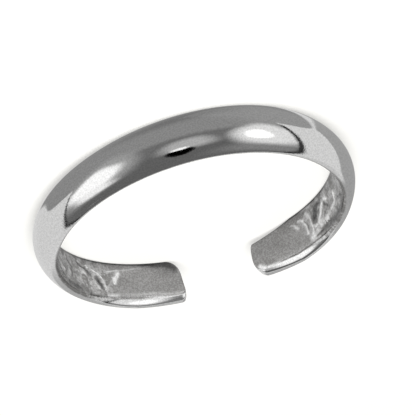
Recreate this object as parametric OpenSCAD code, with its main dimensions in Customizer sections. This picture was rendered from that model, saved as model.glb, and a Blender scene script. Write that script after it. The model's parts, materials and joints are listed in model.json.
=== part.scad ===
// Plain open toe ring: one solid band of half-round silver, bent to a round with a gap at the back.
// The ring lies on its side. +Z runs along the toe, the front of the ring faces -Y and the gap faces +Y.
// The origin is the centre of the toe hole, half way across the band. Sizes are in millimetres.

/* [Toe hole] */
// Diameter of the toe hole
hole_d = 16; // [14:0.5:20]
// Rounding of the two edges of the toe hole
hole_edge_r = 0.12; // [0.06:0.02:0.16]

/* [Band] */
// Width of the band, along the toe
band_w = 2.65; // [2.2:0.05:3]
// Thickness in the middle of the band where it is thickest, near the front
front_t = 1.18; // [1.1:0.02:1.4]
// Thickness in the middle of the band where it is thinnest, near the gap
back_t = 0.8; // [0.76:0.02:1]
// How much of the thickness is the rounded outer face
dome_t = 0.5; // [0.4:0.02:0.54]
// Angle from the front to the thickest place, towards +X
thick_turn = 26; // [0:1:40]

/* [Gap and ends] */
// Width of the gap between the two ends, across the wall of the toe hole
gap_w = 4.25; // [3.5:0.05:5]
// Length of the stretch behind each end in which the band gets narrower
narrowing_l = 2.9; // [2.6:0.1:3.4]
// How much the square end loses on its +Z side, at the end itself
square_loss = 0.2; // [0:0.02:0.3]
// Rounding of the square end's corner on the -Z side
square_low_r = 0.85; // [0.4:0.05:1]
// Rounding of the square end's corner on the +Z side
square_high_r = 0.28; // [0.1:0.02:0.4]
// How much the tapered end loses on each side, at the end itself
taper_loss = 0.38; // [0.2:0.02:0.45]
// How far the tapered end bulges past its two corners
taper_bulge = 0.16; // [0.08:0.02:0.24]
// Rounding of the tapered end's corner on the -Z side
taper_low_r = 0.1; // [0.06:0.02:0.3]
// Rounding of the tapered end's corner on the +Z side
taper_high_r = 0.5; // [0.2:0.05:0.6]

/* [Hidden] */
$fn = 180;
hole_r = hole_d / 2;
half_w = band_w / 2;
// The outer face is round about its own axis, set off from the hole's towards the thickest place
outer_r = hole_r + (front_t + back_t) / 2;
outer_shift = (front_t - back_t) / 2;
// Radius of the arc across the outer face, through its middle and both of its edges
dome_r = (half_w * half_w + dome_t * dome_t) / (2 * dome_t);
// Angle from the front to each end
end_turn = 180 - asin(gap_w / 2 / hole_r);
// Depth that a cutter reaches inside the hole's wall and outside the band
reach = 2.5;
// Small overrun of a cutter past the face that it trims
over = 0.5;

function unit(v) = v / norm(v);

// Turns its children about the toe, from the front towards +X, with their -Y side outwards
module at_turn(angle) {
    rotate([0, 0, angle]) children();
}

// What is taken off a corner of an outline to round it: corner is the point, before and after its neighbours
module corner_waste(before, corner, after, r) {
    to_before = unit(before - corner);
    to_after = unit(after - corner);
    half_angle = acos(to_before * to_after) / 2;
    inwards = unit(to_before + to_after);
    centre = corner + inwards * r / sin(half_angle);
    tangent = r / tan(half_angle);
    difference() {
        polygon([corner - inwards * over, corner + to_before * tangent, centre, corner + to_after * tangent]);
        translate(centre) circle(r = r);
    }
}

// An outline whose rows are [x, y, rounding of this corner]
module rounded_outline(rows) {
    points = [for (row = rows) [row[0], row[1]]];
    last = len(rows) - 1;
    difference() {
        polygon(points);
        for (i = [1 : last - 1])
            if (rows[i][2] > 0)
                corner_waste(points[i - 1], points[i], points[i + 1], rows[i][2]);
    }
}

// Half of a section through the whole outer form, from its axis out: flat sides, arc outside
module outer_section() {
    wall_r = outer_r - dome_t;
    translate([0, -half_w]) square([wall_r, band_w]);
    intersection() {
        translate([outer_r - dome_r, 0]) circle(r = dome_r);
        translate([wall_r - over, -half_w]) square([dome_t + 2 * over, band_w]);
    }
}

// Outer form of the band, a whole round about the shifted axis
module outer_form() {
    at_turn(thick_turn) translate([0, -outer_shift, 0])
        rotate_extrude() outer_section();
}

// Waste that rounds one edge of the toe hole, on the +Z side
module hole_edge_waste() {
    corner_z = half_w - hole_edge_r;
    rotate_extrude() difference() {
        translate([hole_r - over, corner_z]) square([hole_edge_r + over, hole_edge_r + over]);
        translate([hole_r + hole_edge_r, corner_z]) circle(r = hole_edge_r);
    }
}

// The toe hole with both of its rounded edges
module toe_hole() {
    cylinder(r = hole_r, h = band_w + 2 * over, center = true);
    hole_edge_waste();
    mirror([0, 0, 1]) hole_edge_waste();
}

// The band before its ends are cut: a closed round with the toe hole through it
module closed_round() {
    difference() {
        outer_form();
        toe_hole();
    }
}

// Outline of the square end, seen from inside the hole: x runs to the gap from the end, y is +Z
module square_end_outline() {
    rounded_outline([
        // along, up, rounding
        [-narrowing_l - over, half_w + over, 0],
        [-narrowing_l - over, -half_w - over, 0],
        [-narrowing_l, -half_w, 0],
        [0, -half_w, square_low_r],
        [0, half_w - square_loss, square_high_r],
        [-narrowing_l, half_w, 0],
    ]);
}

// Outline of the tapered end, with a slightly bulged end and one well rounded corner
module tapered_end_outline() {
    end_half_w = half_w - taper_loss;
    bulge_r = (end_half_w * end_half_w + taper_bulge * taper_bulge) / (2 * taper_bulge);
    intersection() {
        rounded_outline([
            // along, up, rounding
            [-narrowing_l - over, half_w + over, 0],
            [-narrowing_l - over, -half_w - over, 0],
            [-narrowing_l, -half_w, 0],
            [-taper_bulge, -end_half_w, taper_low_r],
            [0, -end_half_w / 2, 0],
            [0, end_half_w / 2, 0],
            [-taper_bulge, end_half_w, taper_high_r],
            [-narrowing_l, half_w, 0],
        ]);
        union() {
            translate([-bulge_r, 0]) circle(r = bulge_r);
            translate([-narrowing_l - 2 * over, -half_w - over]) square([narrowing_l, band_w + 2 * over]);
        }
    }
}

// A plate with its outline's plane across the hole, reaching from inside the wall to outside the band
module radial_plate() {
    translate([0, -hole_r + reach, 0]) rotate([90, 0, 0])
        linear_extrude(height = 2 * reach) children();
}

// Waste between an end's outline and the middle of the gap
module end_waste() {
    difference() {
        radial_plate() translate([-narrowing_l, -band_w]) square([narrowing_l + 0.7 * gap_w, 2 * band_w]);
        radial_plate() children();
    }
}

// The one piece of the ring
module band() {
    color("silver") difference() {
        closed_round();
        at_turn(end_turn) end_waste() square_end_outline();
        at_turn(-end_turn) mirror([1, 0, 0]) end_waste() tapered_end_outline();
    }
}

band();
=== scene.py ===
"""A plain open toe ring of polished silver, dressed round its CAD frame.

The band is one mesh that a Geometry Nodes tree shapes by rule: a half-round section carried round
the toe hole, with a squared end, a tapered end and a hand-worked relief on the inner face. Lengths
in that tree are millimetres. Everything that reaches the scene is in metres.
"""

import json
import logging
import math
from dataclasses import dataclass, field
from enum import Enum
from typing import Union

import bpy
from mathutils import Matrix, Vector


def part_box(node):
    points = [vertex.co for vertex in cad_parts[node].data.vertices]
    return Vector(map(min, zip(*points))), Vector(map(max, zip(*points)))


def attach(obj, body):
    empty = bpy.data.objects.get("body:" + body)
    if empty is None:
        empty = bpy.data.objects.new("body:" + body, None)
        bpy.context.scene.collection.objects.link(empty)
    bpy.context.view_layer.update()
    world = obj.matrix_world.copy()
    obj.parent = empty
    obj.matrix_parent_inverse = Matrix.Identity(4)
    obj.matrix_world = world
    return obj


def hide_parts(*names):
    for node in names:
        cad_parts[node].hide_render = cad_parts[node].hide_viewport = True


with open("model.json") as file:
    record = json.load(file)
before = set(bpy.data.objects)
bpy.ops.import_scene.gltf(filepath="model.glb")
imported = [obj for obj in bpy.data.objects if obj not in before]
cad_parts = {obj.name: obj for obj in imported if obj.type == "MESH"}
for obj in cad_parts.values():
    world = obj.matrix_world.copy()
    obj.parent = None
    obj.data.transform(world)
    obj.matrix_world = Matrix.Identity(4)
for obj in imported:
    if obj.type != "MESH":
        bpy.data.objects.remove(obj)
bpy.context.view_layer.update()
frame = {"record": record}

LOG = logging.getLogger("toe_ring")
MM = 0.001
IMAGE_SIDE_PX = 416
# Name of the attribute that carries painted shade and painted highlights on the inner face
PAINTED_LIGHT = "handwork_shade"
# Least divisor where a ray runs along a face
TINY = 0.001
# Metres within which vertices are welded, and the turn above which a column is the last one
WELD_DISTANCE = 1e-6
LAST_COLUMN = 0.9999

# Clearances of the two cards that stand inside the ring, in millimetres
GREY_CARD_INSET = 0.1
GREY_CARD_LIFT = 0.005
LIGHT_CARD_INSET = 0.3
LIGHT_CARD_LIFT = 0.01
LIGHT_CARD_RISE = 5.0

Operand = Union["Field", float, int]
Span = tuple[float, float]
Triple = tuple[float, float, float]


@dataclass(frozen=True, eq=False)
class Field:
    """A number of a node tree, which plain arithmetic combines with other numbers."""

    tree: bpy.types.NodeTree
    socket: bpy.types.NodeSocket

    def __add__(self, other: Operand) -> "Field":
        """The sum of both."""
        return math_node(self.tree, "ADD", self, other)

    def __sub__(self, other: Operand) -> "Field":
        """This number less the other."""
        return math_node(self.tree, "SUBTRACT", self, other)

    def __mul__(self, other: Operand) -> "Field":
        """The product of both."""
        return math_node(self.tree, "MULTIPLY", self, other)

    def __truediv__(self, other: Operand) -> "Field":
        """This number shared by the other."""
        return math_node(self.tree, "DIVIDE", self, other)

    def __radd__(self, other: Operand) -> "Field":
        """The sum of both, the plain number first."""
        return math_node(self.tree, "ADD", other, self)

    def __rsub__(self, other: Operand) -> "Field":
        """The plain number less this one."""
        return math_node(self.tree, "SUBTRACT", other, self)

    def __rmul__(self, other: Operand) -> "Field":
        """The product of both, the plain number first."""
        return math_node(self.tree, "MULTIPLY", other, self)

    def __neg__(self) -> "Field":
        """This number with its sign turned."""
        return math_node(self.tree, "MULTIPLY", self, -1.0)

    def sin(self) -> "Field":
        """Sine of this angle in radians."""
        return math_node(self.tree, "SINE", self)

    def cos(self) -> "Field":
        """Cosine of this angle in radians."""
        return math_node(self.tree, "COSINE", self)

    def sqrt(self) -> "Field":
        """Square root."""
        return math_node(self.tree, "SQRT", self)

    def abs(self) -> "Field":
        """Size without sign."""
        return math_node(self.tree, "ABSOLUTE", self)

    def floor(self) -> "Field":
        """Whole number just below."""
        return math_node(self.tree, "FLOOR", self)

    def power(self, exponent: Operand) -> "Field":
        """This number to a power."""
        return math_node(self.tree, "POWER", self, exponent)

    def at_least(self, low: Operand) -> "Field":
        """The larger of both."""
        return math_node(self.tree, "MAXIMUM", self, low)

    def at_most(self, high: Operand) -> "Field":
        """The smaller of both."""
        return math_node(self.tree, "MINIMUM", self, high)

    def blend_min(self, other: Operand, width: Operand) -> "Field":
        """The smaller of both, with a round transition of the given width."""
        return math_node(self.tree, "SMOOTH_MIN", self, other, width)

    def above(self, threshold: Operand) -> "Field":
        """One where this number is above the threshold, else nought."""
        return math_node(self.tree, "GREATER_THAN", self, threshold)

    def unit(self) -> "Field":
        """This number held between nought and one."""
        return self.at_least(0.0).at_most(1.0)

    def fade(self, start: Operand, stop: Operand) -> "Field":
        """A soft step that is nought at start and one at stop."""
        part = ((self - start) / (stop - start)).unit()
        return part * part * (3.0 - 2.0 * part)

    def choose(self, nought: Operand, one: Operand) -> "Field":
        """Mixes two numbers, with this one as the share of the second."""
        return self * one + (1.0 - self) * nought


def plug(tree: bpy.types.NodeTree, socket: bpy.types.NodeSocket, value: Operand) -> None:
    """Links a field to a socket, or sets a plain number on it.

    Args:
        tree: The node tree that holds the socket.
        socket: An input socket.
        value: A field of the same tree, or a plain number.
    """
    if isinstance(value, Field):
        tree.links.new(value.socket, socket)
    else:
        socket.default_value = value


def math_node(tree: bpy.types.NodeTree, operation: str, *values: Operand) -> Field:
    """Adds one Math node.

    Args:
        tree: The node tree to add to.
        operation: The node's operation.
        values: What goes into its inputs, in order.

    Returns:
        The node's result.
    """
    node = tree.nodes.new("ShaderNodeMath")
    node.operation = operation
    for socket, value in zip(node.inputs, values):
        plug(tree, socket, value)
    return Field(tree, node.outputs[0])


def combine(tree: bpy.types.NodeTree, x: Operand, y: Operand, z: Operand) -> Field:
    """Makes a vector of three numbers.

    Args:
        tree: The node tree to add to.
        x: First component.
        y: Second component.
        z: Third component.

    Returns:
        The vector's socket, as a field that only vector inputs take.
    """
    node = tree.nodes.new("ShaderNodeCombineXYZ")
    for socket, value in zip(node.inputs, (x, y, z)):
        plug(tree, socket, value)
    return Field(tree, node.outputs[0])


def noise(tree: bpy.types.NodeTree, where: Field, scale: Operand, detail: float) -> Field:
    """Adds a three-dimensional noise between nought and one.

    Args:
        tree: The node tree to add to.
        where: The vector at which the noise is read.
        scale: Number of waves for one unit of the vector.
        detail: Number of finer octaves.

    Returns:
        The noise's value.
    """
    node = tree.nodes.new("ShaderNodeTexNoise")
    node.inputs["Detail"].default_value = detail
    plug(tree, node.inputs["Vector"], where)
    plug(tree, node.inputs["Scale"], scale)
    return Field(tree, node.outputs[0])


def new_inputs(tree: bpy.types.NodeTree, names: list[str]) -> None:
    """Gives a tree or group one number input for each name.

    Args:
        tree: The node tree whose interface grows.
        names: The inputs' names, in order.
    """
    for name in names:
        tree.interface.new_socket(name=name, in_out="INPUT", socket_type="NodeSocketFloat")


def coordinates(tree: bpy.types.NodeTree, kind: str) -> list[Field]:
    """Reads the place that is being shaded.

    Args:
        tree: The node tree to add to.
        kind: The wanted output of a Texture Coordinate node.

    Returns:
        The place's three coordinates.
    """
    split = tree.nodes.new("ShaderNodeSeparateXYZ")
    tree.links.new(tree.nodes.new("ShaderNodeTexCoord").outputs[kind], split.inputs[0])
    return [Field(tree, socket) for socket in split.outputs]


def degrees_from_front(angle: Field) -> Field:
    """Degrees between a place on the ring and its front, on either side."""
    return angle.abs() * math.degrees(1.0)


@dataclass(frozen=True)
class EndShape:
    """Outline of one end of the band, seen from inside the hole, in millimetres.

    The band narrows towards the end and its corners are round. Low is the side that the ring lies
    on and high is the side that faces the camera.
    """

    low_loss: float
    high_loss: float
    low_corner_r: float
    high_corner_r: float
    bulge: float
    skew: float


@dataclass(frozen=True)
class Crease:
    """A ridge or groove that handwork left on the inner face, or a flat mark, with painted light along
    it.

    Angles are in degrees from the front of the ring, positive towards its square end, and heights are
    in millimetres above the middle of the band. A positive rise stands into the toe hole. Painted light
    is one for a painted highlight, shown as brightly rubbed silver, and minus one for painted shade,
    shown as dark tarnish.
    """

    # Shares of its length over which a crease sets in and dies away
    STARTS = (-0.15, 0.2)
    STOPS = (0.8, 1.15)

    from_turn: float
    from_z: float
    to_turn: float
    to_z: float
    width: float
    rise: float
    shade: float

    def inputs(self) -> dict[str, float]:
        """Values for the crease's own inputs of its node group, with angles in radians."""
        return {
            "from_turn": math.radians(self.from_turn),
            "from_z": self.from_z,
            "to_turn": math.radians(self.to_turn),
            "to_z": self.to_z,
            "width": self.width,
            "rise": self.rise,
            "tone": self.shade,
        }


@dataclass(frozen=True)
class Wave:
    """One wave of the ring's plan, which hand bending left a little out of round."""

    turns: int
    cosine: float
    sine: float

    def at(self, angle: Field) -> Field:
        """The wave's height in millimetres at an angle from the front of the ring."""
        return (angle * self.turns).cos() * self.cosine + (angle * self.turns).sin() * self.sine


@dataclass
class Band:
    """The ring's one piece: a half-round band bent to a round with a gap at the back.

    Lengths are in millimetres and angles in radians, but spans of turn are in degrees from the
    front. High is the side that faces the camera, and low is the side that the ring lies on.
    """

    # Radius of the toe hole, half the band's width, and the angle from the front to each end
    hole_r: float
    half_w: float
    end_turn: float = math.radians(165.15)
    # Thickness at the front and at the gap, and the angle at which the band is thickest
    front_t: float = 1.22
    back_t: float = 0.82
    thick_turn: float = math.radians(10.0)
    # Depth of both flat walls at the sides, and its change towards the front
    wall_t: float = 0.38
    wall_swing: float = -0.17
    # How much deeper the low wall is: all round, at the front, and there towards the square end
    low_wall: float = 0.08
    front_low_wall: float = 0.31
    low_wall_skew: float = -0.26
    # Lean of the high wall, and its swell: at the sides, more at the front, more at the square side
    wall_lean: float = math.radians(10.0)
    wall_rise: float = 0.032
    front_wall_rise: float = 0.026
    wall_rise_skew: float = -0.0135
    # What hand bending did to the plan of the round
    plan_shift: float = -0.027
    plan: tuple[Wave, ...] = (Wave(1, 0.052, 0.065), Wave(2, -0.060, -0.007), Wave(3, 0.040, -0.070))
    # Rounding of the toe hole's edges, of the outer edges and of the edges of both end faces
    hole_edge: float = 0.14
    outer_edge: float = 0.10
    end_edge_r: float = 0.09
    # Reach of the larger rounding near the ends, into the high wall and down the inner face
    tip_depth: float = 0.32
    tip_height: float = 0.85
    tapered_tip_height: float = 0.52
    # Outlines of both ends, how far they narrow, and how far their bulge and skew reach
    square_end: EndShape = EndShape(0.0, 0.2, 0.85, 0.28, 0.0, 0.055)
    tapered_end: EndShape = EndShape(0.38, 0.38, 0.1, 0.5, 0.16, 0.0)
    narrowing_l: float = 2.9
    end_form_l: float = 1.2
    # What makes up for the narrower outline, so that the bulge is whole in its corners
    bulge_gain: float = 1.9
    # Unevenness of the worked inner faces, and where they are worked
    ripple: float = 0.07
    ripple_scale: float = 0.95
    worked_starts: Span = (84.0, 96.0)
    worked_stops: Span = (130.0, 141.0)
    # Distances before a rounded edge over which the unevenness dies away
    calm_starts: float = 0.28
    calm_stops: float = 0.03
    # Painted highlight on the larger rounding near the ends: a soft one from a little before it, then a
    # bright one by shares of it
    highlight_before: float = 0.1
    highlight_soft: float = 0.4
    highlight_span: Span = (0.35, 0.9)
    highlight_soft_share: float = 0.15
    # Columns round the section, and rows in an end's face, over its edge and along half the band
    columns: int = 181
    cap_rows: int = 5
    edge_rows: int = 5
    body_rows: int = 240
    # Stretches behind each end with closer rows, and their shares of the rows
    tip_l: float = 3.2
    worked_l: float = 8.2
    tip_share: float = 0.17
    worked_share: float = 0.6
    # Rows: from turn, from height, to turn, to height, width, rise, painted light
    creases: tuple[Crease, ...] = (
        # Scores, hollows and flat marks with painted shade on the square arm
        Crease(107.5, -0.75, 109.5, -0.35, 0.06, -0.02, -0.9),
        Crease(110.0, -0.40, 108.5, 0.45, 0.05, -0.015, -0.8),
        Crease(114.5, -0.85, 121.0, -0.40, 0.07, -0.03, -0.9),
        Crease(120.5, -0.40, 122.5, -0.25, 0.11, -0.03, -0.8),
        Crease(125.0, -0.30, 128.0, 0.55, 0.13, -0.05, -1.1),
        Crease(110.0, 0.00, 115.0, 0.05, 0.05, -0.01, -0.6),
        Crease(98.0, 0.40, 102.5, 0.85, 0.08, -0.01, -0.8),
        Crease(101.5, 0.95, 113.0, 1.00, 0.14, -0.01, -0.8),
        Crease(112.0, 1.00, 124.5, 1.10, 0.11, -0.01, -0.7),
        Crease(106.5, 0.90, 118.5, 0.65, 0.19, 0.0, -0.45),
        Crease(101.5, -0.25, 104.0, 0.10, 0.12, 0.0, -0.3),
        Crease(147.5, -1.25, 161.5, -1.10, 0.17, 0.0, -0.75),
        Crease(159.5, -1.10, 164.0, -0.65, 0.23, 0.0, -0.9),
        Crease(152.5, -1.15, 159.5, -1.05, 0.2, 0.0, -0.5),
        # Ridges and flat marks with painted highlights on the square arm
        Crease(120.0, -0.80, 121.0, -0.60, 0.08, 0.03, 0.7),
        Crease(122.5, -0.55, 126.5, -0.50, 0.06, 0.03, 0.7),
        Crease(126.5, -0.50, 128.0, -0.15, 0.06, 0.035, 0.75),
        Crease(128.0, -0.15, 128.5, 0.30, 0.06, 0.035, 0.7),
        Crease(128.5, 0.25, 129.0, 0.65, 0.07, 0.035, 0.75),
        Crease(130.0, -0.60, 137.5, -0.80, 0.06, 0.02, 0.45),
        Crease(136.5, -0.65, 134.0, 0.10, 0.08, 0.02, 0.8),
        Crease(137.5, -0.70, 136.0, -0.30, 0.06, 0.01, 0.6),
        Crease(134.0, -0.35, 134.0, 0.10, 0.07, 0.015, 0.7),
        Crease(135.0, -0.40, 134.0, 0.10, 0.07, 0.0, 0.5),
        Crease(123.5, 0.10, 125.5, 0.60, 0.07, 0.02, 0.4),
        Crease(101.0, 0.20, 103.0, 0.25, 0.08, 0.02, 0.5),
        Crease(116.0, -0.30, 119.5, -0.15, 0.09, 0.01, 0.45),
        Crease(113.5, -0.95, 117.0, -0.85, 0.07, 0.01, 0.4),
        Crease(137.5, -0.80, 152.5, -1.10, 0.05, 0.01, 0.3),
        Crease(128.5, 1.05, 135.0, 0.85, 0.11, 0.01, 0.5),
        # Scores, hollows and flat marks with painted shade on the tapered arm
        Crease(-121.5, -1.25, -126.5, -0.80, 0.11, -0.03, -0.8),
        Crease(-127.0, -0.90, -131.5, 0.00, 0.16, -0.03, -1.0),
        Crease(-122.5, -0.55, -119.0, -0.05, 0.07, -0.03, -0.9),
        Crease(-95.0, 0.60, -95.5, 1.15, 0.06, -0.01, -1.0),
        Crease(-95.0, 1.20, -105.0, 1.15, 0.1, -0.01, -1.0),
        Crease(-105.0, 1.10, -116.5, 1.00, 0.19, -0.01, -1.0),
        Crease(-116.0, 1.00, -126.0, 0.85, 0.2, -0.01, -1.0),
        Crease(-126.5, 0.85, -132.5, 0.85, 0.07, -0.01, -1.0),
        Crease(-109.5, 0.30, -100.5, 0.85, 0.11, -0.02, -0.8),
        Crease(-137.0, -0.50, -135.5, -0.15, 0.04, -0.015, -0.9),
        Crease(-135.5, -0.15, -135.5, 0.20, 0.04, -0.015, -1.0),
        Crease(-116.5, 0.70, -108.0, 0.70, 0.06, -0.01, -0.6),
        Crease(-105.5, 0.00, -106.5, 0.40, 0.09, 0.0, -0.4),
        Crease(-126.5, -1.05, -130.5, -0.20, 0.28, 0.0, -0.35),
        # Ridges and flat marks with painted highlights on the tapered arm
        Crease(-123.0, -0.65, -126.5, 0.00, 0.08, 0.04, 0.85),
        Crease(-126.5, -0.05, -129.0, 0.30, 0.1, 0.02, 0.6),
        Crease(-122.0, -0.75, -118.5, -0.55, 0.1, 0.02, 0.55),
        Crease(-111.5, -0.40, -111.0, 0.20, 0.11, 0.03, 0.7),
        Crease(-110.5, 0.25, -118.0, 0.35, 0.09, 0.03, 0.75),
        Crease(-118.5, 0.35, -124.0, 0.55, 0.15, 0.03, 0.6),
        Crease(-117.0, 0.70, -111.5, 0.70, 0.05, 0.01, 0.5),
        Crease(-128.0, 0.40, -120.5, 0.55, 0.22, 0.01, 0.6),
        Crease(-131.5, 0.35, -129.5, 0.25, 0.08, 0.02, 0.6),
        Crease(-136.0, 0.75, -129.0, 0.75, 0.18, 0.01, 0.7),
        Crease(-140.5, -0.75, -138.0, -0.65, 0.07, 0.015, 0.5),
        Crease(-138.0, -0.65, -136.5, -0.30, 0.07, 0.02, 0.7),
        Crease(-136.5, -0.35, -136.0, 0.05, 0.06, 0.02, 0.75),
        Crease(-136.0, 0.05, -136.5, 0.40, 0.06, 0.02, 0.8),
        Crease(-135.5, -0.90, -133.0, -0.45, 0.1, 0.01, 0.6),
        Crease(-133.0, -0.45, -133.0, -0.05, 0.05, 0.015, 0.6),
        Crease(-133.0, -0.10, -132.5, 0.35, 0.05, 0.015, 0.6),
        Crease(-132.5, 0.30, -134.0, 0.60, 0.06, 0.015, 0.6),
        Crease(-144.5, -0.80, -142.0, -0.60, 0.05, 0.01, 0.4),
        Crease(-142.5, -0.60, -140.5, -0.25, 0.08, 0.015, 0.6),
        Crease(-138.0, -1.20, -130.0, -1.10, 0.04, 0.01, 0.5),
        Crease(-134.0, -1.05, -131.5, -1.00, 0.04, 0.0, 0.4),
        Crease(-137.0, -0.80, -135.0, 0.40, 0.48, 0.0, 0.2),
        Crease(-163.5, 0.55, -160.5, 0.85, 0.12, 0.0, 0.9),
        Crease(-160.5, 0.85, -153.5, 1.00, 0.1, 0.0, 0.9),
    )

    SIZES = (
        "hole_r", "half_w", "end_turn", "front_t", "back_t", "thick_turn", "wall_t", "wall_swing",
        "wall_lean", "wall_rise", "front_wall_rise", "wall_rise_skew", "plan_shift", "low_wall",
        "front_low_wall", "low_wall_skew", "hole_edge", "tip_depth", "tip_height",
        "tapered_tip_height", "outer_edge", "narrowing_l", "end_edge_r", "ripple", "ripple_scale",
        "columns", "cap_rows", "edge_rows", "body_rows",
    )

    def build(self, silver: bpy.types.Material) -> bpy.types.Object:
        """Makes the band's mesh.

        Args:
            silver: The material that covers it.

        Returns:
            The band, a plain mesh object at the origin.
        """
        tree = self._tree(silver)
        piece = bpy.data.objects.new("silver_band", bpy.data.meshes.new("silver_band"))
        bpy.context.scene.collection.objects.link(piece)
        modifier = piece.modifiers.new("shape", "NODES")
        modifier.node_group = tree
        for item in tree.interface.items_tree:
            if item.in_out == "INPUT" and item.name in self.SIZES:
                modifier[item.identifier] = float(getattr(self, item.name))
        depsgraph = bpy.context.evaluated_depsgraph_get()
        mesh = bpy.data.meshes.new_from_object(piece.evaluated_get(depsgraph))
        piece.modifiers.clear()
        piece.data = mesh
        mesh.name = piece.name
        return piece

    def _tree(self, silver: bpy.types.Material) -> bpy.types.NodeTree:
        """Builds the Geometry Nodes tree that shapes the band.

        Args:
            silver: The material that its last node sets.

        Returns:
            The tree, with one named input for each size.
        """
        tree = bpy.data.node_groups.new("half_round_band", "GeometryNodeTree")
        new_inputs(tree, list(self.SIZES))
        tree.interface.new_socket(name="Mesh", in_out="OUTPUT", socket_type="NodeSocketGeometry")
        entry = tree.nodes.new("NodeGroupInput")
        size = {name: Field(tree, entry.outputs[name]) for name in self.SIZES}

        rows = 2.0 * (size["cap_rows"] + size["edge_rows"] + size["body_rows"]) + 1.0
        grid = tree.nodes.new("GeometryNodeMeshGrid")
        plug(tree, grid.inputs["Vertices X"], rows)
        plug(tree, grid.inputs["Vertices Y"], size["columns"])

        index = Field(tree, tree.nodes.new("GeometryNodeInputIndex").outputs[0])
        row = ((index + 0.5) / size["columns"]).floor()
        column = index - row * size["columns"]
        turn = column / (size["columns"] - 1.0)
        # The last column stands exactly on the first, so that welding closes the seam
        turn = turn * (1.0 - turn.above(LAST_COLUMN))
        place, shade = self._place(tree, size, row, rows - 1.0, turn)

        marked = tree.nodes.new("GeometryNodeStoreNamedAttribute")
        marked.data_type = "FLOAT"
        marked.domain = "POINT"
        marked.inputs["Name"].default_value = PAINTED_LIGHT
        plug(tree, marked.inputs["Value"], shade)
        tree.links.new(grid.outputs["Mesh"], marked.inputs["Geometry"])
        moved = tree.nodes.new("GeometryNodeSetPosition")
        tree.links.new(place.socket, moved.inputs["Position"])
        welded = tree.nodes.new("GeometryNodeMergeByDistance")
        welded.inputs["Distance"].default_value = WELD_DISTANCE
        turned = tree.nodes.new("GeometryNodeFlipFaces")
        smooth = tree.nodes.new("GeometryNodeSetShadeSmooth")
        realized = tree.nodes.new("GeometryNodeRealizeInstances")
        dressed = tree.nodes.new("GeometryNodeSetMaterial")
        dressed.inputs["Material"].default_value = silver
        leave = tree.nodes.new("NodeGroupOutput")
        chain = (marked, moved, welded, turned, smooth, realized, dressed, leave)
        for before, after in zip(chain, chain[1:]):
            tree.links.new(before.outputs[0], after.inputs[0])
        return tree

    def _place(
        self, tree: bpy.types.NodeTree, size: dict[str, Field], row: Field, last: Field, turn: Field
    ) -> tuple[Field, Field]:
        """Places every vertex of the grid on the band.

        Args:
            tree: The band's tree.
            size: The tree's sizes.
            row: The vertex's row, counted from the middle of the square end's face.
            last: The last row, in the middle of the tapered end's face.
            turn: How far round the section the vertex is, from nought to one.

        Returns:
            The vertex's position in metres, and its painted shade or highlight on the inner face.
        """
        square = (last / 2.0 + 0.5 - row).above(0.0)
        sign = square * 2.0 - 1.0
        from_end = row.at_most(last - row)
        grow = (from_end / size["cap_rows"]).unit()
        edge_turn = ((from_end - size["cap_rows"]) / size["edge_rows"]).unit() * (math.pi / 2)
        body = ((from_end - size["cap_rows"] - size["edge_rows"]) / size["body_rows"]).unit()
        inset = size["end_edge_r"] * (1.0 - edge_turn.sin())
        half_arc = size["end_turn"] * size["hole_r"]
        along = size["end_edge_r"] * (1.0 - edge_turn.cos())
        plain = half_arc - size["end_edge_r"] - self.tip_l - self.worked_l
        along = along + (body / self.tip_share).unit() * self.tip_l
        along = along + ((body - self.tip_share) / self.worked_share).unit() * self.worked_l
        rest = self.tip_share + self.worked_share
        along = along + ((body - rest) / (1.0 - rest)).unit() * plain
        angle = sign * (size["end_turn"] - along / size["hole_r"])

        low, high = self._outline(size, along, square)
        middle_z = (low + high) / 2.0
        half = (high - low) / 2.0
        section = Section(size, angle, middle_z, half, turn)
        relief, shade = self._relief(tree, size, angle, section)
        reach = (section.reach(relief) - inset).at_least(0.0) * grow
        radius = section.middle_r + section.out * reach + size["plan_shift"]
        for wave in self.plan:
            radius = radius + wave.at(angle)
        height = middle_z + section.up * reach

        near_end = (1.0 - along / self.end_form_l).unit()
        across = height / size["half_w"]
        bulge = square.choose(self.tapered_end.bulge, self.square_end.bulge)
        bulge = bulge * across * across * self.bulge_gain
        skew = square.choose(self.tapered_end.skew, self.square_end.skew) * (1.0 - across)
        angle = angle - sign * (bulge + skew) * near_end * near_end / size["hole_r"]
        x = radius * angle.sin() * MM
        y = radius * angle.cos() * -MM
        return combine(tree, x, y, height * MM), shade * section.faces_hole()

    def _outline(self, size: dict[str, Field], along: Field, square: Field) -> tuple[Field, Field]:
        """Works out how low and how high the band reaches.

        Args:
            size: The tree's sizes.
            along: Distance from the nearer end.
            square: One on the square end's side of the ring.

        Returns:
            The lowest and the highest height of the band's section.
        """
        towards_end = (1.0 - along / size["narrowing_l"]).unit()

        def drop(loss: Field, corner_r: Field) -> Field:
            """What the outline loses to its taper and to its round corner."""
            short = (corner_r - along).at_least(0.0)
            return loss * towards_end + corner_r - (corner_r * corner_r - short * short).sqrt()

        def pick(name: str) -> Field:
            """A size of the end on this vertex's side."""
            return square.choose(getattr(self.tapered_end, name), getattr(self.square_end, name))

        low = drop(pick("low_loss"), pick("low_corner_r")) - size["half_w"]
        high = size["half_w"] - drop(pick("high_loss"), pick("high_corner_r"))
        return low, high

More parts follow.
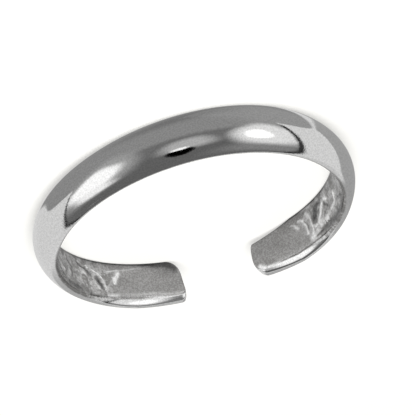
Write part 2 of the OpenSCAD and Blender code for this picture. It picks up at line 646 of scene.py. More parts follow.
    def _relief(
        self, tree: bpy.types.NodeTree, size: dict[str, Field], angle: Field, section: "Section"
    ) -> tuple[Field, Field]:
        """Works out how far the inner face stands into the toe hole, and its painted shade and
        highlights.

        Args:
            tree: The band's tree.
            size: The tree's sizes.
            angle: Angle from the front of the ring.
            section: The section at this place.

        Returns:
            The rise of the face in millimetres, and its painted light between minus one and one: minus
            one is painted shade and one a painted highlight.
        """
        turn = degrees_from_front(angle)
        worked = turn.fade(*self.worked_starts) * (1.0 - turn.fade(*self.worked_stops))
        face_z = section.face_height()
        where = combine(tree, angle * size["hole_r"], face_z, 0.0)
        waves = noise(tree, where, size["ripple_scale"], 1.0) - 0.5
        tall = section.edge_height()
        side_z = (face_z - section.middle_z).abs()
        flat = section.half - tall
        edge = 1.0 - side_z.fade(flat - self.calm_starts, flat - self.calm_stops)
        relief = size["ripple"] * waves * 2.0 * worked * edge
        # Painted highlight along the larger rounding near the ends, shown as rubbed silver
        soft = side_z.fade(flat - self.highlight_before, flat + self.highlight_soft * tall)
        bright = side_z.fade(*(flat + share * tall for share in self.highlight_span))
        shade = section.tip() * self.highlight_soft_share * soft
        shade = shade + section.tip() * (1.0 - self.highlight_soft_share) * bright
        # Each crease adds its relief and its painted shade or highlight
        group = crease_group()
        for crease in self.creases:
            node = tree.nodes.new("GeometryNodeGroup")
            node.node_tree = group
            here = {"angle": angle, "face_z": face_z, "edge": edge, "hole_r": size["hole_r"]}
            sums = {"relief": relief, "shade": shade}
            for name, value in {**here, **sums, **crease.inputs()}.items():
                plug(tree, node.inputs[name], value)
            relief, shade = (Field(tree, socket) for socket in node.outputs)
        return relief, shade.at_least(-1.0).at_most(1.0)


def crease_group() -> bpy.types.NodeTree:
    """Builds the node group that adds one crease to the relief and to the painted shade and highlights
    of the inner face.

    Returns:
        The group, whose inputs are the sums so far, the vertex's place and the crease's sizes.
    """
    group = bpy.data.node_groups.new("crease", "GeometryNodeTree")
    names = ["relief", "shade", "angle", "face_z", "edge", "hole_r"]
    names += ["from_turn", "from_z", "to_turn", "to_z", "width", "rise", "tone"]
    new_inputs(group, names)
    for name in ("relief", "shade"):
        group.interface.new_socket(name=name, in_out="OUTPUT", socket_type="NodeSocketFloat")
    entry = group.nodes.new("NodeGroupInput")
    value = {name: Field(group, entry.outputs[name]) for name in names}
    run = (value["to_turn"] - value["from_turn"]) * value["hole_r"]
    climb = value["to_z"] - value["from_z"]
    length = (run * run + climb * climb).sqrt()
    east = (value["angle"] - value["from_turn"]) * value["hole_r"]
    north = value["face_z"] - value["from_z"]
    along = (east * run + north * climb) / (length * length)
    aside = (north * run - east * climb) / length / value["width"]
    ends = along.fade(*Crease.STARTS) * (1.0 - along.fade(*Crease.STOPS))
    mark = ends / (1.0 + aside * aside * (0.5 + 0.5 * aside * aside))
    leave = group.nodes.new("NodeGroupOutput")
    plug(group, leave.inputs["relief"], value["relief"] + mark * value["edge"] * value["rise"])
    plug(group, leave.inputs["shade"], value["shade"] + mark * value["tone"])
    return group


@dataclass(eq=False)
class Section:
    """The band's section at one angle: a flat inner face, two flat walls and a round outer face.

    A vertex is reached from the middle of the section along a ray. The nearest of the faces that
    the ray meets bounds it. Spans are in degrees from the front of the ring.
    """

    size: dict[str, Field]
    angle: Field
    middle_z: Field
    half: Field
    turn: Field
    # Where the rays start, as a share of the thickness, and how they crowd to corners and inwards
    middle_share: float = 0.45
    corner_crowding: float = 0.10
    inward_crowding: float = 0.35
    # Where the larger rounding near the ends sets in, and how it shrinks at the very ends
    tip_starts: Span = (112.0, 140.0)
    tip_shrinks: Span = (146.0, 163.0)
    tip_loss: float = 0.52
    # No ray meets the inner face higher or lower than this
    highest_face: float = 2.0
    # How fast the painted shade and highlights fade where the rays turn away from the toe hole
    facing_gain: float = 4.0
    thick: Field = field(init=False)
    wall: Field = field(init=False)
    rise: Field = field(init=False)
    middle_r: Field = field(init=False)
    out: Field = field(init=False)
    up: Field = field(init=False)

    def __post_init__(self) -> None:
        """Works out the thickness here and the ray's direction."""
        size = self.size
        mean_t = (size["front_t"] + size["back_t"]) / 2.0
        swing_t = (size["front_t"] - size["back_t"]) / 2.0
        front = self.angle.cos()
        side = self.angle.sin()
        self.thick = mean_t + swing_t * (self.angle - size["thick_turn"]).cos()
        self.wall = size["wall_t"] + size["wall_swing"] * front
        self.rise = size["wall_rise"] + size["front_wall_rise"] * front
        self.rise = self.rise + size["wall_rise_skew"] * side
        self.middle_r = size["hole_r"] + self.thick * self.middle_share
        lap = self.turn * math.tau
        lap = lap + (lap * 4.0).sin() * self.corner_crowding + lap.sin() * self.inward_crowding
        out = lap.cos() * self.thick * 0.5
        up = lap.sin() * self.half
        length = (out * out + up * up).sqrt()
        self.out = out / length
        self.up = up / length

    def inwards(self) -> Field:
        """How much of the ray points to the toe hole, never quite nought."""
        return (-self.out).at_least(TINY)

    def faces_hole(self) -> Field:
        """One on the inner face, falling to nought where the ray turns away from the toe hole."""
        return (self.inwards() * self.facing_gain).unit()

    def face_height(self) -> Field:
        """Height at which the ray meets the inner face."""
        reach = (self.middle_r - self.size["hole_r"]) / self.inwards()
        return self.middle_z + (self.up * reach).at_least(-self.highest_face).at_most(self.highest_face)

    def reach(self, relief: Field) -> Field:
        """Works out how far the section reaches along the ray.

        Args:
            relief: How far the inner face stands into the toe hole here.

        Returns:
            The distance from the middle of the section.
        """
        size = self.size
        depth = self.middle_r - size["hole_r"]
        to_face = (depth + relief) / self.inwards()
        high = self.up.above(0.0)
        lean_sin = high * (1.0 - self.tip()) * size["wall_lean"].sin()
        lean_cos = (1.0 - lean_sin * lean_sin).sqrt()
        up = self.up.abs()
        offset = (self.half + self.rise * high) * lean_cos - depth * lean_sin
        to_wall = offset / (self.out * lean_sin + up * lean_cos).at_least(TINY)
        to_edge, on_edge = self._edge(depth, offset, lean_sin, lean_cos)
        inner = on_edge.choose(to_face.at_most(to_wall), to_edge)

        front = self.angle.cos().at_least(0.0)
        swell = size["front_low_wall"] + size["low_wall_skew"] * self.angle.sin()
        low_wall = size["low_wall"] + front * front * swell
        dome = self.thick - self.wall - (1.0 - high) * low_wall
        dome_r = (size["half_w"] * size["half_w"] + dome * dome) / (dome * 2.0)
        centre_out = size["hole_r"] + self.thick - dome_r - self.middle_r
        centre_up = -self.middle_z
        nearest = centre_out * self.out + centre_up * self.up
        aside = centre_out * centre_out + centre_up * centre_up
        to_dome = nearest + (nearest * nearest - aside + dome_r * dome_r).sqrt()
        return inner.blend_min(to_dome, size["outer_edge"])

    def tip(self) -> Field:
        """One near the ends on the side that faces the camera, nought elsewhere."""
        return degrees_from_front(self.angle).fade(*self.tip_starts) * self.up.above(0.0)

    def edge_height(self) -> Field:
        """Works out how far down the inner face the rounded edge of the toe hole reaches.

        Returns:
            The height of the rounding, which is larger near both ends.
        """
        square = self.angle.above(0.0)
        tall = square.choose(self.size["tapered_tip_height"], self.size["tip_height"])
        shrinks = degrees_from_front(self.angle).fade(*self.tip_shrinks)
        tall = tall * (1.0 - shrinks * self.tip_loss)
        return self.tip().choose(self.size["hole_edge"], tall)

    def _edge(
        self, depth: Field, offset: Field, lean_sin: Field, lean_cos: Field
    ) -> tuple[Field, Field]:
        """Works out the rounded edge between the inner face and the wall, a quarter of an ellipse.

        Args:
            depth: Distance from the middle of the section to the inner face.
            offset: Distance from the middle of the section to the wall's line.
            lean_sin: Sine of the wall's lean.
            lean_cos: Cosine of the wall's lean.

        Returns:
            The distance to the edge along the ray, and one where the ray meets it, else nought.
        """
        deep = self.tip().choose(self.size["hole_edge"], self.size["tip_depth"])
        tall = self.edge_height()
        centre_out = deep - depth
        span = ((deep * lean_sin) * (deep * lean_sin) + (tall * lean_cos) * (tall * lean_cos)).sqrt()
        centre_up = (offset - span - lean_sin * centre_out) / lean_cos
        up = self.up.abs()
        squash = deep / tall
        ray_up = up * squash
        middle_up = centre_up * squash
        length = self.out * self.out + ray_up * ray_up
        nearest = centre_out * self.out + middle_up * ray_up
        beyond = centre_out * centre_out + middle_up * middle_up - deep * deep
        to_edge = (nearest + (nearest * nearest - length * beyond).at_least(0.0).sqrt()) / length
        rise = up * to_edge - centre_up
        run = self.out * to_edge - centre_out
        before_wall = (rise * lean_sin * squash - run * lean_cos / squash).above(0.0)
        return to_edge, rise.above(0.0) * before_wall


@dataclass(frozen=True)
class Pattern:
    """A noise of a finish: its waves for a millimetre, its finer octaves and where it shows."""

    scale: float
    detail: float
    shows: Span = (0.0, 1.0)

    def at(self, tree: bpy.types.NodeTree, where: Field) -> Field:
        """The noise at a place, between nought and one."""
        return noise(tree, where, self.scale, self.detail)


@dataclass(frozen=True)
class SilverFinish:
    """Polished sterling silver with a fine grain, faint polishing lines and a little tarnish. Painted
    shade darkens the inner face's creases and far edge, and painted highlights, shown as rubbed silver,
    brighten its ridges and rounded edges.

    Lengths are in millimetres and spans of turn in degrees from the front of the ring.
    """

    # The ring that it covers
    hole_r: float
    half_w: float
    plan: tuple[Wave, ...]
    plan_shift: float
    # Colours of the clean and of the tarnished silver
    bright: Triple = (0.955, 0.953, 0.948)
    tarnished: Triple = (0.285, 0.28, 0.272)
    # Patterns of the silver, and how fine the polishing lines are along and across the band
    clouds: Pattern = Pattern(0.45, 3.0, (0.5, 0.75))
    blots: Pattern = Pattern(1.6, 2.0, (0.4, 0.65))
    spots: Pattern = Pattern(4.5, 1.0, (0.38, 0.62))
    grain: Pattern = Pattern(11.0, 2.0, (0.3, 0.7))
    lines: Pattern = Pattern(1.0, 2.0)
    line_along: float = 0.5
    line_across: float = 14.0
    # Zones of the inner face: its skin, the dull and the worked part, the rims and the far edge, which
    # has painted shade
    hole_skin: Span = (0.10, 0.22)
    dull_starts: Span = (66.0, 88.0)
    worked_starts: Span = (84.0, 96.0)
    worked_stops: Span = (128.0, 138.0)
    rim_w: float = 0.18
    rim_fade: float = 0.16
    far_edge_starts: Span = (104.0, 122.0)
    far_edge_depth: Span = (1.10, 1.24)
    far_edge_dark: float = 0.85
    # Shares of tarnish that the patterns and the zones give or take, and that painted highlights take
    polish_clouds: float = 0.05
    dull_tarnish: float = 0.88
    dull_clouds: float = 0.1
    dull_rim: float = 0.2
    dull_grain: float = 0.16
    worked_loss: float = 0.25
    worked_blots: float = 0.35
    worked_spots: float = 0.3
    highlight_loss: float = 1.1
    # What the grain and the painted shade of creases and of the far edge take from the colour
    grain_loss: float = 0.15
    painted_shade_loss: float = 0.7
    # Roughness outside and inside, its changes and its least value
    outer_roughness: float = 0.06
    inner_roughness: float = 0.2
    grain_roughness: float = 0.06
    cloud_roughness: float = 0.04
    highlight_polish: float = 0.08
    least_roughness: float = 0.04
    # The fine relief of the grain and the polishing lines
    bump_strength: float = 0.35
    bump_height: float = 0.006
    grain_bump: float = 0.6

    def build(self) -> bpy.types.Material:
        """Makes the material.

        Returns:
            The finished material.
        """
        material = bpy.data.materials.new("polished_silver")
        material.use_nodes = True
        tree = material.node_tree
        shader = tree.nodes["Principled BSDF"]
        shader.inputs["Metallic"].default_value = 1.0

        x, y, z = (value / MM for value in coordinates(tree, "Object"))
        radius = (x * x + y * y).sqrt()
        angle = math_node(tree, "ARCTAN2", x, -y)
        along = angle * self.hole_r

        for wave in self.plan:
            radius = radius - wave.at(angle)
        start = self.hole_r + self.plan_shift
        inside = 1.0 - radius.fade(*(start + depth for depth in self.hole_skin))
        turn = degrees_from_front(angle)
        dull = inside * turn.fade(*self.dull_starts)
        worked = inside * turn.fade(*self.worked_starts) * (1.0 - turn.fade(*self.worked_stops))
        rim = (z.abs() - (self.half_w - self.rim_w)).at_least(0.0).fade(0.0, self.rim_fade)
        # Painted shade along the low far edge of the inner face, near the floor, standing in for a
        # mirrored contact shadow
        far_edge_shade = inside * turn.fade(*self.far_edge_starts) * (-z).fade(*self.far_edge_depth)

        place = combine(tree, along, z, radius)
        clouds = self.clouds.at(tree, place)
        cloudy = clouds.fade(*self.clouds.shows)
        blots = self.blots.at(tree, place).fade(*self.blots.shows)
        spots = self.spots.at(tree, place).fade(*self.spots.shows)
        grain = self.grain.at(tree, place)
        grainy = grain.fade(*self.grain.shows)
        stretched = (along * self.line_along, z * self.line_across, radius * self.line_across)
        lines = self.lines.at(tree, combine(tree, *stretched))

        # Painted light from the band: painted shade darkens the colour, painted highlights clear the
        # tarnish
        kept = tree.nodes.new("ShaderNodeAttribute")
        kept.attribute_name = PAINTED_LIGHT
        shade = Field(tree, kept.outputs["Fac"])
        dark = ((-shade).unit() + far_edge_shade * self.far_edge_dark).unit()
        painted_highlight = shade.unit()
        tarnish = cloudy * self.polish_clouds + dull * (self.dull_tarnish + cloudy * self.dull_clouds)
        tarnish = tarnish + worked * (blots * self.worked_blots - self.worked_loss)
        tarnish = tarnish + dull * rim * self.dull_rim
        tarnish = tarnish + worked * (spots - 0.5) * self.worked_spots
        tarnish = tarnish + dull * (grainy - 0.5) * self.dull_grain
        tarnish = (tarnish - painted_highlight * self.highlight_loss).unit()

        mix = tree.nodes.new("ShaderNodeMix")
        mix.data_type = "RGBA"
        mix.inputs["A"].default_value = (*self.bright, 1.0)
        mix.inputs["B"].default_value = (*self.tarnished, 1.0)
        plug(tree, mix.inputs["Factor"], tarnish)
        shaded = tree.nodes.new("ShaderNodeVectorMath")
        shaded.operation = "SCALE"
        tree.links.new(mix.outputs["Result"], shaded.inputs[0])
        kept_light = (1.0 - grainy * self.grain_loss) * (1.0 - dark * self.painted_shade_loss)
        plug(tree, shaded.inputs["Scale"], kept_light)
        tree.links.new(shaded.outputs["Vector"], shader.inputs["Base Color"])

        rough = inside.choose(self.outer_roughness, self.inner_roughness)
        rough = rough + (grain - 0.5) * self.grain_roughness + (clouds - 0.5) * self.cloud_roughness
        rough = rough - painted_highlight * self.highlight_polish
        plug(tree, shader.inputs["Roughness"], rough.at_least(self.least_roughness))

        bump = tree.nodes.new("ShaderNodeBump")
        bump.inputs["Strength"].default_value = self.bump_strength
        bump.inputs["Distance"].default_value = self.bump_height * MM
        plug(tree, bump.inputs["Height"], grain * self.grain_bump + lines * (1.0 - self.grain_bump))
        tree.links.new(bump.outputs["Normal"], shader.inputs["Normal"])
        return material


@dataclass(frozen=True)
class Panel:
    """A lit or dark panel of the studio, by its place on the studio's map.

    The map is flat and measured in degrees from straight up: side runs towards the ring's square
    end and back runs away from its front. Tone is the light that the panel gives. A taper makes
    the panel narrower towards the back when it is negative.
    """

    # Share of a panel's width that its taper leaves at least
    LEAST_WIDTH = 0.05

    side: float
    back: float
    half_side: float
    half_back: float
    tone: float
    softness: float = 2.0
    squareness: float = 2.0
    tilt: float = 0.0
    taper: float = 0.0

    def mask(self, side: Field, back: Field) -> Field:
        """Masks the panel.

        Args:
            side: Place on the map, sideways.
            back: Place on the map, to the back.

        Returns:
            One on the panel, nought off it.
        """
        right = side - self.side
        away = back - self.back
        turn = math.radians(self.tilt)
        across = right * math.cos(turn) + away * math.sin(turn)
        along = (away * math.cos(turn) - right * math.sin(turn)) / self.half_back
        across = across / ((1.0 + along * self.taper).at_least(self.LEAST_WIDTH) * self.half_side)
        edge = across.abs().power(self.squareness) + along.abs().power(self.squareness)
        edge = edge.power(1.0 / self.squareness)
        soft = self.softness / min(self.half_side, self.half_back)
        return 1.0 - edge.fade(1.0 - soft, 1.0 + soft)


@dataclass(frozen=True)
class Line:
    """A slightly bent line on the studio's map. A positive bend pushes its middle to the left."""

    from_side: float
    from_back: float
    to_side: float
    to_back: float
    bend: float = 0.0

    def measure(self, side: Field, back: Field) -> tuple[Field, Field]:
        """Measures places on the map against the line.

        Args:
            side: Place on the map, sideways.
            back: Place on the map, to the back.

        Returns:
            How far the place is to the left of the line, and how far along it as a share.
        """
        run = self.to_side - self.from_side
        climb = self.to_back - self.from_back
        length = math.hypot(run, climb)
        right = side - self.from_side
        away = back - self.from_back
        share = (right * run + away * climb) / (length * length)
        left = (away * run - right * climb) / length
        return left - share * (1.0 - share) * (4.0 * self.bend), share


class Facing(Enum):
    """On which side of its two lines a screen lies, as the sign of its distance from them."""

    LEFT = 1.0
    RIGHT = -1.0


@dataclass(frozen=True)
class Screen:
    """A light screen behind the ring: between its front edge, its flank and a round rim."""

    front: Line
    flank: Line
    facing: Facing
    rim_side: float
    rim_back: float
    rim_half_side: float
    rim_half_back: float
    tone: float
    front_softness: float = 0.8
    flank_softness: float = 1.0
    rim_softness: float = 0.015

    def mask(self, side: Field, back: Field) -> Field:
        """Masks the screen.

        Args:
            side: Place on the map, sideways.
            back: Place on the map, to the back.

        Returns:
            One on the screen, nought off it.
        """
        front, _ = self.front.measure(side, back)
        flank, _ = self.flank.measure(side, back)
        lit = (front * self.facing.value).fade(-self.front_softness, self.front_softness)
        lit = lit * (flank * self.facing.value).fade(-self.flank_softness, self.flank_softness)
        across = (side - self.rim_side) / self.rim_half_side
        away = (back - self.rim_back).at_least(0.0) / self.rim_half_back
        rim = (across * across + away * away).sqrt()
        return lit * (1.0 - rim.fade(1.0 - self.rim_softness, 1.0 + self.rim_softness))


@dataclass(frozen=True)
class Bar:
    """A dark bar along a line of the map, with its own width at each end."""

    line: Line
    from_width: float
    to_width: float
    start: float
    stop: float
    tone: float
    offset: float = 0.0
    softness: float = 0.6
    end_softness: float = 0.04

    def mask(self, side: Field, back: Field) -> Field:
        """Masks the bar.

        Args:
            side: Place on the map, sideways.
            back: Place on the map, to the back.

        Returns:
            One on the bar, nought off it.
        """
        left, share = self.line.measure(side, back)
        width = share.unit() * (self.to_width - self.from_width) + self.from_width
        apart = (left - self.offset).abs() / width
        end = self.end_softness
        dark = 1.0 - apart.fade(1.0 - self.softness, 1.0 + self.softness)
        dark = dark * share.fade(self.start - end, self.start + end)
        return dark * (1.0 - share.fade(self.stop - end, self.stop + end))


# Front edges of the two screens behind, which the dark bars follow
SQUARE_SIDE_LINE = Line(89.7, -15.4, 12.2, 48.1, -3.0)
TAPERED_SIDE_LINE = Line(-103.0, -26.0, -11.0, 40.8, 3.6)


@dataclass
class Studio:
    """Soft studio light: what the ring mirrors from all round, and a lamp for the floor alone.

    Spans are in degrees on the studio's map: from straight up, or to the side of the tapered end.
    """

    # Keeps the map's divisions whole straight up and straight down
    LEAST_LEVEL = 0.00001

    # Tone overhead, in front and on the ground, and where one gives way to the next
    overhead_tone: float = 0.155
    front_tone: float = 0.20
    ground_tone: float = 0.335
    overhead_stops: Span = (35.0, 62.0)
    horizon: Span = (84.0, 104.0)
    # Shares by which the ground is lighter at the tapered end's side and darker straight below
    ground_lift: float = 0.18
    lift_starts: Span = (70.0, 120.0)
    ground_dip: float = 0.32
    dip_starts: Span = (145.0, 178.0)
    # Tone that the camera sees behind the floor
    camera_tone: Triple = (0.99, 0.985, 0.955)
    # Size in metres, power in watts and place of the floor's lamp
    lamp_size: float = 0.25
    lamp_power: float = 1.6
    lamp_place: Triple = (0.0, -0.20, 0.30)
    # What is painted over the tones, each over the ones before it
    layers: tuple[Union[Panel, Screen, Bar], ...] = (
        # Soft panels in front: side, back, their halves, tone, softness, squareness, tilt, taper
        Panel(-32.0, 14.0, 22.0, 24.0, 0.285, 12.0),
        Panel(63.0, -36.0, 32.0, 48.0, 0.46, 10.0, 2.6, 8.0),
        Panel(63.5, -30.5, 21.0, 30.0, 1.35, 6.0, 3.0, 8.0),
        Panel(44.0, -5.0, 12.0, 11.5, 1.2, 6.0),
        Panel(-62.0, -25.5, 29.0, 38.5, 0.98, 8.0, 2.6, -15.0),
        Panel(-56.0, -32.0, 11.5, 18.0, 1.5, 2.0, 2.4, -25.0),
        Panel(-6.0, -56.0, 20.0, 22.0, 0.56, 9.0, 2.4),
        Panel(1.0, -26.2, 7.6, 13.8, 0.0, 1.5, 2.4, 0.0, -0.5),
        Panel(1.0, -41.8, 5.8, 4.8, 1.3, 1.5, 2.2),
        # Screens behind: both lines, facing, middle of the rim, its halves, tone
        Screen(
            SQUARE_SIDE_LINE, Line(107.0, 50.0, 95.0, -13.0), Facing.RIGHT,
            15.0, 50.0, 92.0, 71.0, 0.84,
        ),
        Screen(
            TAPERED_SIDE_LINE, Line(-111.0, 50.0, -108.0, -22.0), Facing.LEFT,
            -10.0, 50.0, 101.0, 83.0, 0.86,
        ),
        Screen(
            Line(-100.0, 50.0, -5.0, 62.0), Line(-6.0, 50.0, -6.0, 130.0), Facing.LEFT,
            -10.0, 50.0, 97.0, 77.0, 0.45,
        ),
        # Soft panels between the two screens, in the same columns as those in front
        Panel(-16.0, 52.0, 10.0, 8.0, 0.74, 3.0),
        Panel(10.0, 72.0, 20.0, 9.0, 0.55, 4.0),
        Panel(6.0, 84.0, 18.0, 8.0, 0.30, 4.0),
        # Dark edges of the screens: line, both widths, start, stop, tone
        Bar(SQUARE_SIDE_LINE, 0.9, 1.3, 0.04, 1.2, 0.02),
        Bar(TAPERED_SIDE_LINE, 3.0, 1.7, 0.02, 1.0, 0.02),
    )

    def build(self) -> None:
        """Makes the world and the floor's lamp."""
        self._world()
        self._lamp()

    def _world(self) -> None:
        """Paints the studio round the ring as a world of soft panels."""
        world = bpy.data.worlds.new("studio")
        bpy.context.scene.world = world
        world.use_nodes = True
        tree = world.node_tree
        tree.nodes.clear()
        x, y, z = coordinates(tree, "Generated")
        from_top = math_node(tree, "ARCCOSINE", z.at_least(-1.0).at_most(1.0)) * math.degrees(1.0)
        level = (x * x + y * y).sqrt().at_least(self.LEAST_LEVEL)
        side = from_top * x / level
        back = from_top * y / level

        tone = from_top.fade(*self.overhead_stops).choose(self.overhead_tone, self.front_tone)
        ground = 1.0 + (-side).fade(*self.lift_starts) * self.ground_lift
        ground = (ground - from_top.fade(*self.dip_starts) * self.ground_dip) * self.ground_tone
        tone = from_top.fade(*self.horizon).choose(tone, ground)
        for layer in self.layers:
            tone = layer.mask(side, back).choose(tone, layer.tone)

        seen = Field(tree, tree.nodes.new("ShaderNodeLightPath").outputs["Is Camera Ray"])
        mirrored = tree.nodes.new("ShaderNodeBackground")
        plug(tree, mirrored.inputs["Strength"], tone)
        backdrop = tree.nodes.new("ShaderNodeBackground")
        backdrop.inputs["Color"].default_value = (*self.camera_tone, 1.0)
        mix = tree.nodes.new("ShaderNodeMixShader")
        plug(tree, mix.inputs[0], seen)
        tree.links.new(mirrored.outputs[0], mix.inputs[1])
        tree.links.new(backdrop.outputs[0], mix.inputs[2])
        leave = tree.nodes.new("ShaderNodeOutputWorld")
        tree.links.new(mix.outputs[0], leave.inputs["Surface"])

    def _lamp(self) -> None:
        """Hangs a large lamp that lights the floor and isn't mirrored by the ring."""
        light = bpy.data.lights.new("floor_lamp", "AREA")
        light.shape = "DISK"
        light.size = self.lamp_size
        light.energy = self.lamp_power
        lamp = bpy.data.objects.new("floor_lamp", light)
        lamp.location = Vector(self.lamp_place)
        lamp.rotation_euler = (-lamp.location).to_track_quat("-Z", "Y").to_euler()
        lamp.visible_glossy = False
        lamp.visible_camera = False
        bpy.context.scene.collection.objects.link(lamp)


def stage_mesh(
    name: str, points: list[Triple], faces: list[tuple[int, ...]], finish: bpy.types.Material
) -> bpy.types.Object:
    """Makes one mesh of the stage and links it to the scene.

    Args:
        name: The object's name.
        points: Its vertices, in metres.
        faces: Its faces, by the numbers of their vertices.
        finish: Its material.

    Returns:
        The new object.
    """
    mesh = bpy.data.meshes.new(name)
    mesh.from_pydata(points, [], faces)
    mesh.materials.append(finish)
    piece = bpy.data.objects.new(name, mesh)
    bpy.context.scene.collection.objects.link(piece)
    return piece


def show_to_silver_alone(card: bpy.types.Object) -> None:
    """Hides a card from the camera and from the floor.

    Args:
        card: The card, which the silver goes on mirroring.
    """
    card.visible_camera = False
    card.visible_diffuse = False
    card.visible_shadow = False


@dataclass
class Floor:
    """The plain pale floor that the ring lies on."""

    height: float
    side: float = 3.0
    colour: Triple = (0.90, 0.895, 0.87)
    glow: float = 0.55
    matt_share: float = 0.5
    roughness: float = 0.9
    sheen: float = 0.1

    def build(self) -> bpy.types.Object:
        """Makes the floor.

        Returns:
            The floor, which isn't part of the object.
        """
        half = self.side / 2
        corners = [(-half, -half), (half, -half), (half, half), (-half, half)]
        points = [(x, y, self.height) for x, y in corners]
        floor = stage_mesh("floor", points, [(0, 1, 2, 3)], self._paper())
        floor.visible_glossy = False
        return floor

    def _paper(self) -> bpy.types.Material:
        """Makes the floor's matt white material, which glows a little to stay even.

        Returns:
            The finished material.
        """
        material = bpy.data.materials.new("white_paper")
        material.use_nodes = True
        tree = material.node_tree
        shader = tree.nodes["Principled BSDF"]
        matt = [part * self.matt_share for part in self.colour]
        shader.inputs["Base Color"].default_value = (*matt, 1.0)
        shader.inputs["Emission Color"].default_value = (*self.colour, 1.0)
        shader.inputs["Emission Strength"].default_value = self.glow
        shader.inputs["Roughness"].default_value = self.roughness
        shader.inputs["Specular IOR Level"].default_value = self.sheen
        return material


@dataclass
class GreyCard:
    """A round grey card on the floor inside the ring, which only the silver mirrors in place of the
    floor.

    From its edge inwards it has a dark rim, which is a painted contact shadow, a grey ring of painted
    shade by the band's foot and a light middle, and its front is light all over. Spans are in
    millimetres.
    """

    # Sizes in metres
    radius: float
    height: float
    # Tones of the rim and the ring, which are painted contact shadow and painted shade, then of the
    # front and the middle
    contact_shadow_tone: float = 0.50
    ring_tone: float = 0.66
    front_tone: float = 0.98
    middle_tone: float = 1.0
    # How far in from the edge the rim gives way to the ring, and the ring to the middle
    rim_stops: Span = (0.0, 0.9)
    ring_stops: Span = (3.0, 6.0)
    # Where the front's tone gives way: backwards along the rim, and forwards along the ring
    rim_darkens: Span = (-2.0, 2.0)
    ring_lightens: Span = (1.0, 3.0)
    # Cloudiness of the card
    clouds: Pattern = Pattern(0.8, 2.0, (0.35, 0.65))
    cloud_swing: float = 0.3
    points: int = 96

    def build(self) -> bpy.types.Object:
        """Makes the card.

        Returns:
            The card, which isn't part of the object.
        """
        count = self.points
        turns = [math.tau * i / count for i in range(count)]
        level = [(self.radius * math.cos(turn), self.radius * math.sin(turn)) for turn in turns]
        rim = [(x, y, self.height) for x, y in level]
        card = stage_mesh("grey_card", rim, [tuple(range(count))], self._shades())
        show_to_silver_alone(card)
        return card

    def _shades(self) -> bpy.types.Material:
        """Makes the card's material, whose tones run from the painted shade at the rim to the light
        middle.

        Returns:
            The finished material.
        """
        material = bpy.data.materials.new("grey_card")
        material.use_nodes = True
        tree = material.node_tree
        shader = tree.nodes["Principled BSDF"]
        x, y, _ = (value / MM for value in coordinates(tree, "Object"))
        from_rim = self.radius / MM - (x * x + y * y).sqrt()
        contact_shadow_tone = y.fade(*self.rim_darkens).choose(self.front_tone, self.contact_shadow_tone)
        ring_tone = (-y).fade(*self.ring_lightens).choose(self.ring_tone, self.front_tone)
        tone = from_rim.fade(*self.rim_stops).choose(contact_shadow_tone, ring_tone)
        tone = from_rim.fade(*self.ring_stops).choose(tone, self.middle_tone)
        blots = self.clouds.at(tree, combine(tree, x, y, 0.0)).fade(*self.clouds.shows)
        tone = tone * (1.0 + self.cloud_swing * (blots - 0.5))
        plug(tree, shader.inputs["Base Color"], combine(tree, tone, tone, tone))
        shader.inputs["Roughness"].default_value = 1.0
        shader.inputs["Specular IOR Level"].default_value = 0.0
        return material


@dataclass(frozen=True)
class PhotoCamera:
    """The camera, at the photograph's angle to the ring.

    Angles are in degrees: azimuth from the front of the ring towards its square end, elevation
    above the floor, and roll of the frame. The ring's centre stands at (centre_x, centre_y) in the
    frame's pixels.
    """

    azimuth: float = -1.5
    elevation: float = 27.62
    roll: float = 164.48
    distance: float = 0.220
    px_per_mm: float = 18.235
    centre_x: float = 197.7
    centre_y: float = 210.6

    def build(self) -> bpy.types.Object:
        """Makes the camera and sets it as the scene's.

        Returns:
            The camera.
        """
        turn = math.radians(self.azimuth)
        rise = math.radians(self.elevation)
        level = math.cos(rise)
        back = Vector((math.sin(turn) * level, -math.cos(turn) * level, math.sin(rise)))
        right = Vector((math.cos(turn), math.sin(turn), 0.0))
        axes = Matrix((right, back.cross(right), back)).transposed().to_4x4()
        roll = Matrix.Rotation(math.radians(self.roll), 4, "Z")

        data = bpy.data.cameras.new("photo_camera")
        focal_px = self.px_per_mm / MM * self.distance
        data.lens = focal_px * data.sensor_width / IMAGE_SIDE_PX
        data.shift_x = (IMAGE_SIDE_PX / 2 - self.centre_x) / IMAGE_SIDE_PX
        data.shift_y = (self.centre_y - IMAGE_SIDE_PX / 2) / IMAGE_SIDE_PX
        data.clip_start = self.distance / 10
        camera = bpy.data.objects.new("photo_camera", data)
        camera.matrix_world = Matrix.Translation(back * self.distance) @ axes @ roll
        bpy.context.scene.collection.objects.link(camera)
        bpy.context.scene.camera = camera
        return camera


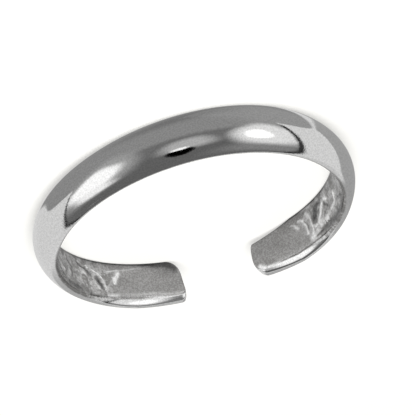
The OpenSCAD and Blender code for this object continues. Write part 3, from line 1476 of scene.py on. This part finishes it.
@dataclass
class LightCard:
    """An upright light card inside the front of the ring, which only the inner faces mirror.

    It is seen from its hollow side alone, so that the front's own inner face doesn't mirror it.
    """

    # Sizes in metres, the angle to each side that the card spans, and its light
    radius: float
    low: float
    high: float
    half_turn: float = math.radians(66.0)
    tone: float = 0.85
    strips: int = 48

    def build(self) -> bpy.types.Object:
        """Makes the card.

        Returns:
            The card, which isn't part of the object.
        """
        strips = self.strips
        turns = [self.half_turn * (2.0 * i / strips - 1.0) for i in range(strips + 1)]
        level = [(self.radius * math.sin(turn), -self.radius * math.cos(turn)) for turn in turns]
        foot = [(x, y, self.low) for x, y in level]
        head = [(x, y, self.high) for x, y in level]
        count = len(turns)
        faces = [(i, count + i, count + i + 1, i + 1) for i in range(strips)]
        card = stage_mesh("light_card", foot + head, faces, self._glow())
        show_to_silver_alone(card)
        return card

    def _glow(self) -> bpy.types.Material:
        """Makes the card's material, a soft glow that is clear from behind.

        Returns:
            The finished material.
        """
        material = bpy.data.materials.new("light_card")
        material.use_nodes = True
        tree = material.node_tree
        tree.nodes.clear()
        glow = tree.nodes.new("ShaderNodeEmission")
        glow.inputs["Strength"].default_value = self.tone
        clear = tree.nodes.new("ShaderNodeBsdfTransparent")
        mix = tree.nodes.new("ShaderNodeMixShader")
        tree.links.new(tree.nodes.new("ShaderNodeNewGeometry").outputs["Backfacing"], mix.inputs[0])
        tree.links.new(glow.outputs[0], mix.inputs[1])
        tree.links.new(clear.outputs[0], mix.inputs[2])
        leave = tree.nodes.new("ShaderNodeOutputMaterial")
        tree.links.new(mix.outputs[0], leave.inputs["Surface"])
        return material


def mount_radius(name: str) -> float:
    """Radius of a bore mount of the frame's record, in millimetres."""
    mounts = frame["record"]["mounts"]
    return next(mount["dims"]["r_mm"] for mount in mounts if mount["name"] == name)


def main() -> None:
    """Builds the ring and its studio in order."""
    logging.basicConfig(level=logging.INFO, format="%(name)s: %(message)s")
    low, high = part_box("band")
    hole_r = mount_radius("toe_hole")
    half_w = (high.z - low.z) / 2 / MM

    camera = PhotoCamera().build()
    LOG.info("%s stands %.3f m from the ring", camera.name, camera.location.length)

    shape = Band(hole_r=hole_r, half_w=half_w)
    silver = SilverFinish(hole_r=hole_r, half_w=half_w, plan=shape.plan, plan_shift=shape.plan_shift)
    band = shape.build(silver.build())
    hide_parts("band")
    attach(band, "root")
    LOG.info("%s has %d faces", band.name, len(band.data.polygons))

    floor = Floor(height=low.z).build()
    LOG.info("%s lies at %.4f m", floor.name, low.z)
    card = GreyCard(
        radius=(hole_r - GREY_CARD_INSET) * MM, height=low.z + GREY_CARD_LIFT * MM
    ).build()
    LOG.info("%s lies inside the ring", card.name)
    light_card = LightCard(
        radius=(hole_r - LIGHT_CARD_INSET) * MM,
        low=low.z + LIGHT_CARD_LIFT * MM,
        high=high.z + LIGHT_CARD_RISE * MM,
    ).build()
    LOG.info("%s stands inside the front", light_card.name)
    Studio().build()
    bpy.context.scene.view_settings.view_transform = "Standard"


if __name__ == "__main__":
    main()
